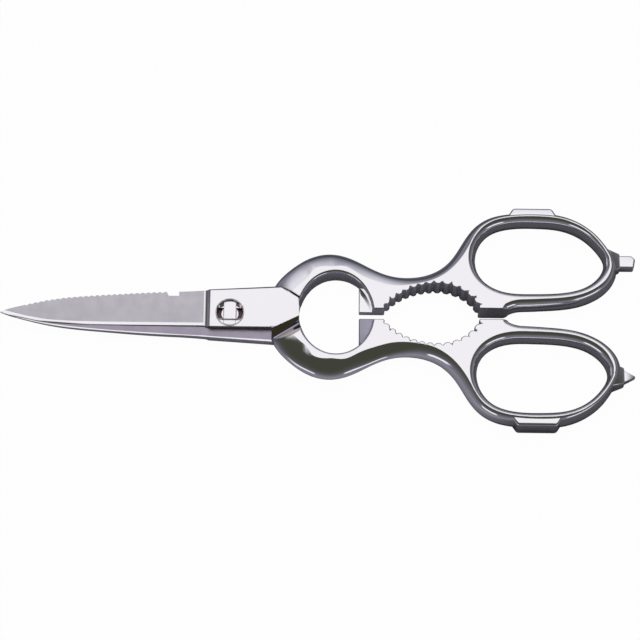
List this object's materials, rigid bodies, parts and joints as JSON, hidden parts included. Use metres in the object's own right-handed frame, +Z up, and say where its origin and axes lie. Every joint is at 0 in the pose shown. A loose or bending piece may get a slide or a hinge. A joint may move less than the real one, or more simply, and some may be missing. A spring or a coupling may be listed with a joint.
{
  "type": "kitchen shears",
  "caption": "All-steel kitchen shears with a scaler back, a bottle ring with cap lifter lips, toothed nut jaws, a screwdriver tip and a pick.",
  "frame": {"origin": "under the middle of the closed shears, on the surface they lie on", "axes": "+X from the blade tips towards the finger loops, +Y across the shears towards the rear half's loop, +Z up through the thickness"},
  "size_m": [0.2038, 0.076, 0.0078],
  "materials": {
    "blade_steel": "satin ground blade, polished plate",
    "handle_steel": "bright polished",
    "stud_steel": "turned, lightly polished"
  },
  "bodies": {
    "rear_half": {"rear_blade": "blade_steel", "rear_handle": "handle_steel", "pivot_stud": "stud_steel"},
    "front_half": {"front_blade": "blade_steel", "front_handle": "handle_steel"}
  },
  "joints": [
    {"name": "pivot", "type": "hinge", "parent": "rear_half", "child": "front_half", "pos_m": [-0.0284, 0, 0.0039], "axis": [0, 0, -1], "range_deg": [0, 90]}
  ]
}
